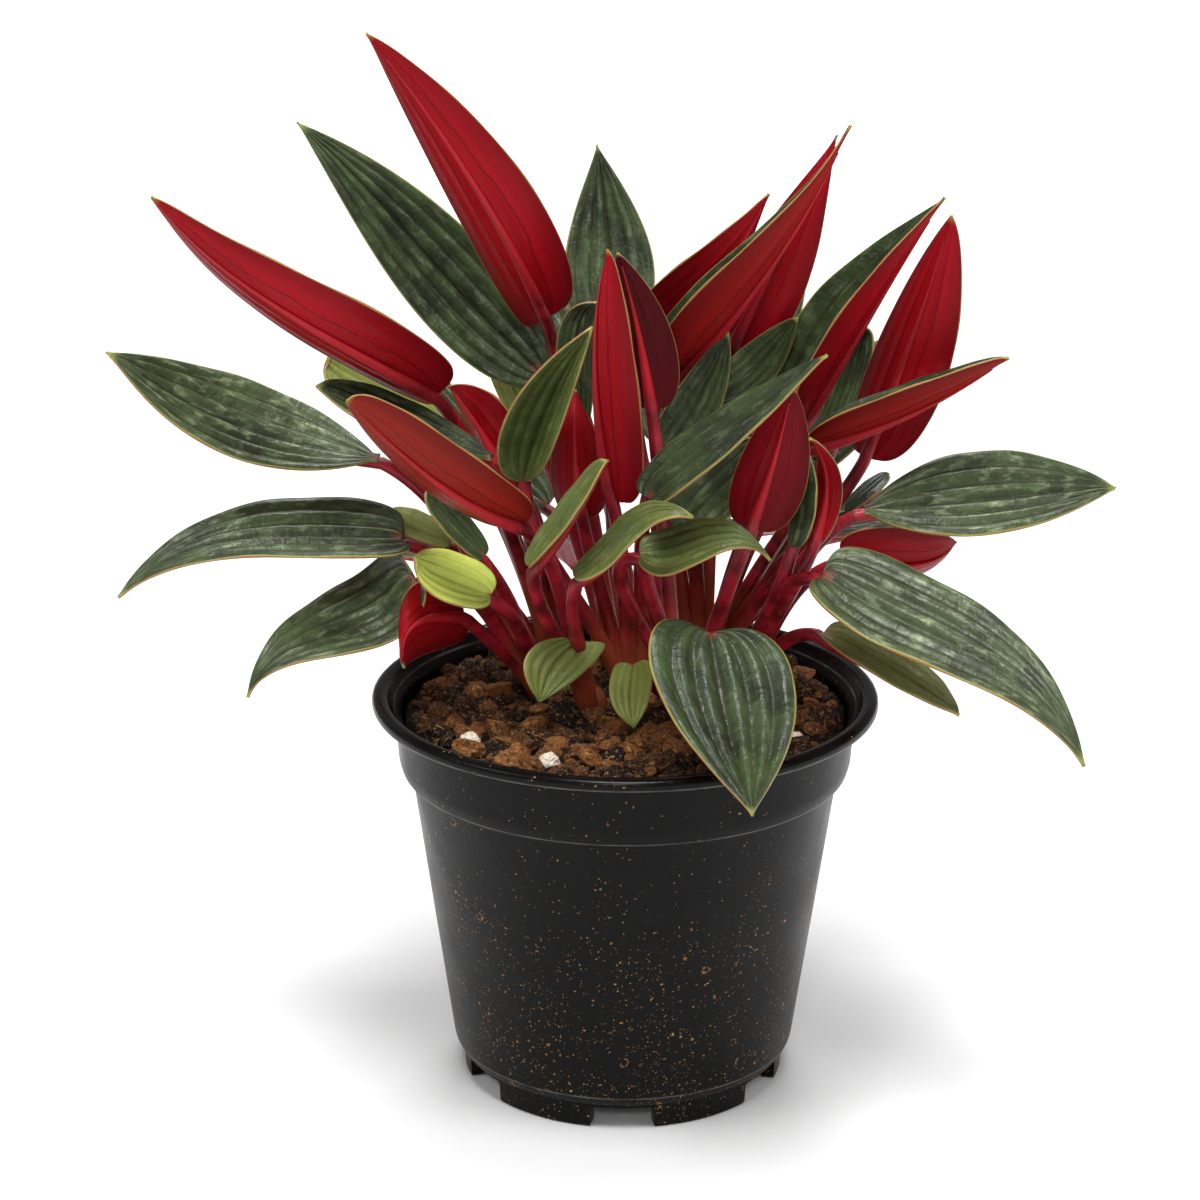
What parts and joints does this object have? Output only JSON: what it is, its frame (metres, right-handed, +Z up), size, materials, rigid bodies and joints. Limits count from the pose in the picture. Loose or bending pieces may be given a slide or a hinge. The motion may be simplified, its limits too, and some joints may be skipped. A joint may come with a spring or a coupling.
{
  "type": "potted peperomia",
  "caption": "Bushy house plant with lance-shaped ribbed leaves, dark green above and crimson below, on fleshy red stalks in bark soil, in a black tapered nursery pot with a stepped rim.",
  "frame": {"origin": "middle of the pot's underside on the surface it stands on; the leaves' spread is centred on the same axis to within 2 mm", "axes": "+Z up, along the pot's axis; the plant's front, as pictured, faces -Y; +X to the right of someone looking at the front"},
  "size_m": [0.2329, 0.1545, 0.2518],
  "materials": {
    "pot_plastic": "satin moulded black plastic with fine tan flecks",
    "bark_soil": "rough crumbs of bark and peat",
    "perlite": "chalky white grain",
    "leaf_flesh": "glossy ribbed green above, satin crimson below",
    "stalk_flesh": "smooth fleshy crimson"
  },
  "bodies": {
    "root": {"pot": "pot_plastic", "soil": "bark_soil", "perlite_grain_left": "perlite", "perlite_grain_middle": "perlite", "perlite_grain_right": "perlite", "leafy_stem_left": "leaf_flesh", "leafy_stem_left_back": "leaf_flesh", "leafy_stem_front": "leaf_flesh", "leafy_stem_middle": "leaf_flesh", "leafy_stem_middle_back": "leaf_flesh", "leafy_stem_right_front": "leaf_flesh", "leafy_stem_right": "leaf_flesh", "leafy_stem_right_back": "leaf_flesh", "leafy_stem_back": "leaf_flesh"}
  },
  "joints": []
}
